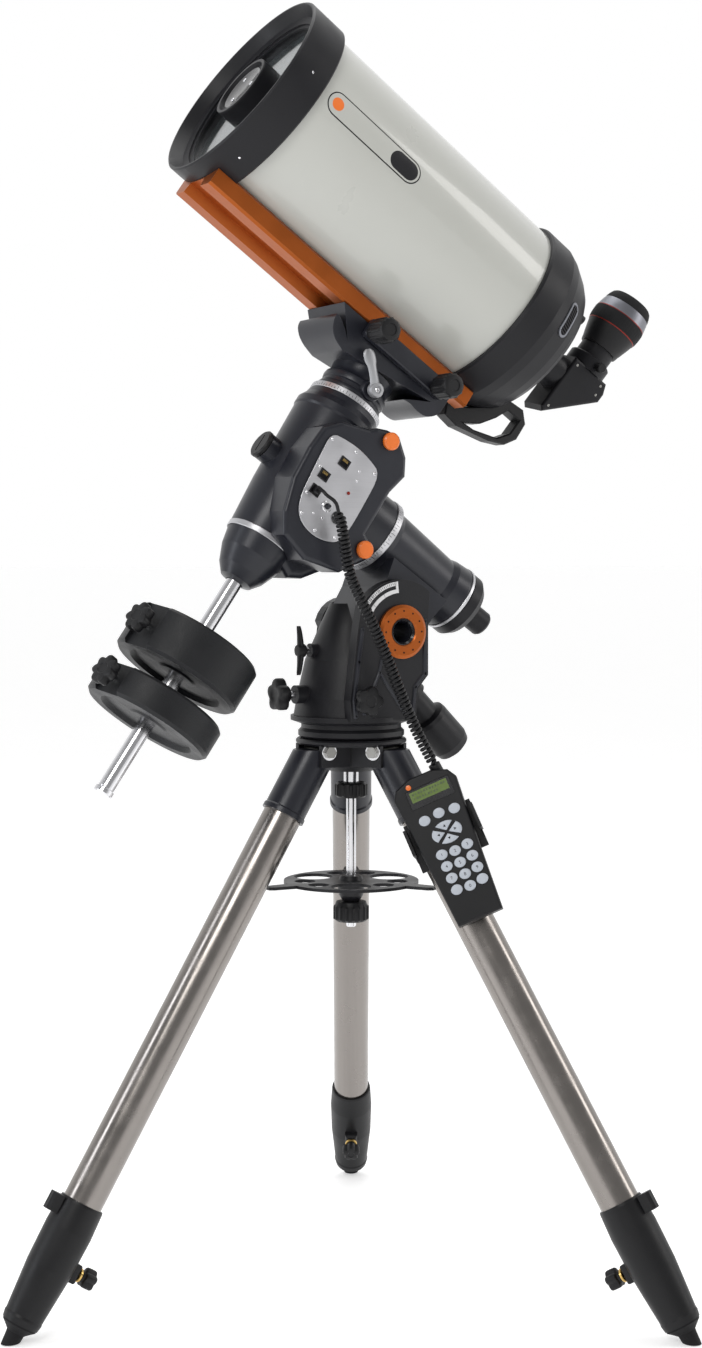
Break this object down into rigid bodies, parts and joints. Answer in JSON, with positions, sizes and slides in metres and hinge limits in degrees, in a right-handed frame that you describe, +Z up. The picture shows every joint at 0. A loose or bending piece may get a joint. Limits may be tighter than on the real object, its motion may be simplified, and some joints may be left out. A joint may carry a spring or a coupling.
{
  "type": "schmidt cassegrain telescope",
  "caption": "Short closed-tube catadioptric telescope on a German equatorial mount with counterweights, wired handset and three-legged field tripod.",
  "frame": {"origin": "floor, below the tripod's vertical axis", "axes": "+Z up; the polar axis lies in the XZ plane and points towards -X and up; the handset leg is on the -Y side"},
  "size_m": [0.9511, 0.8456, 1.665],
  "materials": {
    "tube_paint": "gloss",
    "cell_black": "satin",
    "mount_gunmetal": "satin",
    "orange_anodised": "satin",
    "silver_metal": "satin",
    "leg_steel": "brushed",
    "bright_steel": "polished",
    "black_plastic": "matte",
    "key_plastic": "matte",
    "weight_paint": "satin",
    "corrector_glass": "clear",
    "mirror_coating": "polished",
    "cord_rubber": "matte"
  },
  "bodies": {
    "tripod": {"tripod_hub": "mount_gunmetal", "leg_pivot_bolts": "bright_steel", "centre_rod": "bright_steel"},
    "rod_nut": {"rod_knob": "black_plastic"},
    "tray": {"spreader_tray": "black_plastic"},
    "tray_nut": {"tray_knob": "black_plastic"},
    "leg_north": {"leg_sleeve_north": "cell_black", "leg_tube_north": "leg_steel", "leg_boot_north": "black_plastic"},
    "leg_foot_north": {"leg_extension_north": "leg_steel"},
    "leg_lock_north": {"leg_lock_knob_north": "black_plastic"},
    "leg_front": {"leg_sleeve_front": "cell_black", "leg_tube_front": "leg_steel", "leg_boot_front": "black_plastic", "handset_holder": "black_plastic", "cord_coil": "cord_rubber"},
    "leg_foot_front": {"leg_extension_front": "leg_steel"},
    "leg_lock_front": {"leg_lock_knob_front": "black_plastic"},
    "leg_back": {"leg_sleeve_back": "cell_black", "leg_tube_back": "leg_steel", "leg_boot_back": "black_plastic"},
    "leg_foot_back": {"leg_extension_back": "leg_steel"},
    "leg_lock_back": {"leg_lock_knob_back": "black_plastic"},
    "azimuth_base": {"base_casting": "mount_gunmetal"},
    "azimuth_knob_a": {"azimuth_knob_north": "black_plastic"},
    "azimuth_knob_b": {"azimuth_knob_near": "black_plastic"},
    "lock_lever": {"altitude_lock_lever": "black_plastic"},
    "altitude_crank": {"altitude_handle": "black_plastic"},
    "altitude_head": {"polar_housing": "mount_gunmetal", "altitude_rings": "orange_anodised", "polar_scope": "black_plastic"},
    "polar_assembly": {"dec_housing": "mount_gunmetal", "electronics_cover": "black_plastic", "panel_plate": "silver_metal", "orange_caps": "orange_anodised", "counterweight_shaft": "bright_steel", "cord_plug": "black_plastic", "cord_lead": "cord_rubber"},
    "front_cap": {"polar_front_cap": "black_plastic"},
    "weight_low": {"counterweight_lower": "weight_paint"},
    "weight_low_screw": {"weight_knob_lower": "black_plastic"},
    "weight_high": {"counterweight_upper": "weight_paint"},
    "weight_high_screw": {"weight_knob_upper": "black_plastic"},
    "declination": {"saddle": "mount_gunmetal"},
    "clutch": {"clutch_lever": "silver_metal"},
    "saddle_screw_front": {"saddle_knob_front": "black_plastic"},
    "saddle_screw_rear": {"saddle_knob_rear": "black_plastic"},
    "telescope": {"dovetail_bar": "orange_anodised", "front_cell": "cell_black", "corrector_plate": "corrector_glass", "secondary_holder": "cell_black", "optical_tube": "tube_paint", "rear_cell": "cell_black", "carry_handle": "black_plastic"},
    "mirror_cell": {"primary_mirror": "mirror_coating"},
    "focuser": {"focus_knob": "black_plastic"},
    "diagonal": {"star_diagonal": "cell_black"},
    "ocular": {"eyepiece": "cell_black"},
    "handset": {"handset_shell": "black_plastic", "handset_keys": "key_plastic"}
  },
  "joints": [
    {"name": "rod_nut_turn", "type": "hinge", "parent": "tripod", "child": "rod_nut", "pos_m": [0, 0, 0.642], "axis": [0, 0, 1], "range_deg": [-180, 180]},
    {"name": "tray_turn", "type": "hinge", "parent": "tripod", "child": "tray", "pos_m": [0, 0, 0.521], "axis": [0, 0, 1], "range_deg": [0, 60]},
    {"name": "tray_nut_turn", "type": "hinge", "parent": "tripod", "child": "tray_nut", "pos_m": [0, 0, 0.482], "axis": [0, 0, 1], "range_deg": [-180, 180]},
    {"name": "leg_fold_north", "type": "hinge", "parent": "tripod", "child": "leg_north", "pos_m": [-0.053, 0, 0.696], "axis": [0, -1, 0], "range_deg": [0, 8]},
    {"name": "leg_extend_north", "type": "slide", "parent": "leg_north", "child": "leg_foot_north", "axis": [-0.5188, 0, -0.8549], "range_m": [0, 0.22]},
    {"name": "leg_lock_north", "type": "hinge", "parent": "leg_north", "child": "leg_lock_north", "pos_m": [-0.38167, 0, 0.06377], "axis": [0.8549, 0, -0.5188], "range_deg": [-180, 180]},
    {"name": "leg_fold_front", "type": "hinge", "parent": "tripod", "child": "leg_front", "pos_m": [0.0265, -0.0459, 0.696], "axis": [0.866, 0.5, 0], "range_deg": [0, 8], "deforming": ["cord_coil"]},
    {"name": "leg_extend_front", "type": "slide", "parent": "leg_front", "child": "leg_foot_front", "axis": [0.2594, -0.4493, -0.8549], "range_m": [0, 0.22]},
    {"name": "leg_lock_front", "type": "hinge", "parent": "leg_front", "child": "leg_lock_front", "pos_m": [0.19083, -0.33053, 0.06377], "axis": [-0.4275, 0.7404, -0.5188], "range_deg": [-180, 180]},
    {"name": "leg_fold_back", "type": "hinge", "parent": "tripod", "child": "leg_back", "pos_m": [0.0265, 0.0459, 0.696], "axis": [-0.866, 0.5, 0], "range_deg": [0, 8]},
    {"name": "leg_extend_back", "type": "slide", "parent": "leg_back", "child": "leg_foot_back", "axis": [0.2594, 0.4493, -0.8549], "range_m": [0, 0.22]},
    {"name": "leg_lock_back", "type": "hinge", "parent": "leg_back", "child": "leg_lock_back", "pos_m": [0.19083, 0.33053, 0.06377], "axis": [-0.4275, -0.7404, -0.5188], "range_deg": [-180, 180]},
    {"name": "azimuth_turn", "type": "hinge", "parent": "tripod", "child": "azimuth_base", "pos_m": [0, 0, 0.72], "axis": [0, 0, 1], "range_deg": [-7, 7], "deforming": ["cord_coil"]},
    {"name": "azimuth_screw_north", "type": "hinge", "parent": "azimuth_base", "child": "azimuth_knob_a", "pos_m": [-0.1, 0, 0.77], "axis": [-1, 0, 0], "range_deg": [-180, 180]},
    {"name": "azimuth_screw_near", "type": "hinge", "parent": "azimuth_base", "child": "azimuth_knob_b", "pos_m": [-0.03, -0.092, 0.765], "axis": [0, -1, 0], "range_deg": [-180, 180]},
    {"name": "altitude_lock_turn", "type": "hinge", "parent": "azimuth_base", "child": "lock_lever", "pos_m": [-0.066, 0, 0.827], "axis": [-1, 0, 0], "range_deg": [-60, 60]},
    {"name": "altitude_crank_turn", "type": "hinge", "parent": "azimuth_base", "child": "altitude_crank", "pos_m": [0.0906, 0, 0.7614], "axis": [0.7071, 0, -0.7071], "range_deg": [-180, 180]},
    {"name": "altitude_tilt", "type": "hinge", "parent": "azimuth_base", "child": "altitude_head", "pos_m": [0.03, 0, 0.852], "axis": [0, 1, 0], "range_deg": [-8, 3], "deforming": ["cord_coil"]},
    {"name": "polar_turn", "type": "hinge", "parent": "altitude_head", "child": "polar_assembly", "pos_m": [0.04711, 0, 0.96837], "axis": [-0.8192, 0, 0.5736], "range_deg": [-90, 90], "deforming": ["cord_coil"]},
    {"name": "front_cap_turn", "type": "hinge", "parent": "polar_assembly", "child": "front_cap", "pos_m": [-0.13147, 0, 1.09341], "axis": [-0.8192, 0, 0.5736], "range_deg": [-180, 180]},
    {"name": "weight_slide_low", "type": "slide", "parent": "polar_assembly", "child": "weight_low", "axis": [0.5736, 0, 0.8192], "range_m": [-0.085, 0]},
    {"name": "weight_screw_low", "type": "hinge", "parent": "weight_low", "child": "weight_low_screw", "pos_m": [-0.35649, -0.02508, 0.806], "axis": [-0.7874, -0.2756, 0.5514], "range_deg": [-180, 180]},
    {"name": "weight_slide_high", "type": "slide", "parent": "polar_assembly", "child": "weight_high", "axis": [0.5736, 0, 0.8192], "range_m": [0, 0.08]},
    {"name": "weight_screw_high", "type": "hinge", "parent": "weight_high", "child": "weight_high_screw", "pos_m": [-0.31147, -0.02508, 0.8703], "axis": [-0.7874, -0.2756, 0.5514], "range_deg": [-180, 180]},
    {"name": "declination_turn", "type": "hinge", "parent": "polar_assembly", "child": "declination", "pos_m": [-0.0729, 0, 1.0585], "axis": [0.5736, 0, 0.8192], "range_deg": [-90, 90]},
    {"name": "clutch_turn", "type": "hinge", "parent": "declination", "child": "clutch", "pos_m": [0.00306, -0.0503, 1.16524], "axis": [0, -1, 0], "range_deg": [0, 50]},
    {"name": "saddle_screw_front_turn", "type": "hinge", "parent": "declination", "child": "saddle_screw_front", "pos_m": [-0.00553, -0.0624, 1.23839], "axis": [0, -1, 0], "range_deg": [-180, 180]},
    {"name": "saddle_screw_rear_turn", "type": "hinge", "parent": "declination", "child": "saddle_screw_rear", "pos_m": [0.09031, -0.0624, 1.17129], "axis": [0, -1, 0], "range_deg": [-180, 180]},
    {"name": "balance_slide", "type": "slide", "parent": "declination", "child": "telescope", "axis": [0.8192, 0, -0.5736], "range_m": [-0.01, 0.03]},
    {"name": "mirror_focus", "type": "slide", "parent": "telescope", "child": "mirror_cell", "axis": [0.8192, 0, -0.5736], "range_m": [-0.0015, 0.006]},
    {"name": "focus_turn", "type": "hinge", "parent": "telescope", "child": "focuser", "pos_m": [0.28574, 0.083, 1.2377], "axis": [0.8192, 0, -0.5736], "range_deg": [-720, 2880]},
    {"name": "diagonal_turn", "type": "hinge", "parent": "telescope", "child": "diagonal", "pos_m": [0.29312, 0, 1.23254], "axis": [0.8192, 0, -0.5736], "range_deg": [-100, 100]},
    {"name": "eyepiece_slide", "type": "slide", "parent": "diagonal", "child": "ocular", "axis": [0.561, -0.2079, 0.8013], "range_m": [0, 0.04]},
    {"name": "handset_slide", "type": "slide", "parent": "leg_front", "child": "handset", "axis": [-0.2053, 0.4173, 0.8853], "range_m": [0, 0.045], "deforming": ["cord_coil"]}
  ],
  "couplings": [
    {"joint": "leg_fold_front", "follows": "leg_fold_north", "ratio": 1},
    {"joint": "leg_fold_back", "follows": "leg_fold_north", "ratio": 1},
    {"joint": "tray_turn", "follows": "leg_fold_north", "ratio": 7.5},
    {"joint": "focus_turn", "follows": "mirror_focus", "rad_per_m": 8377.6}
  ]
}
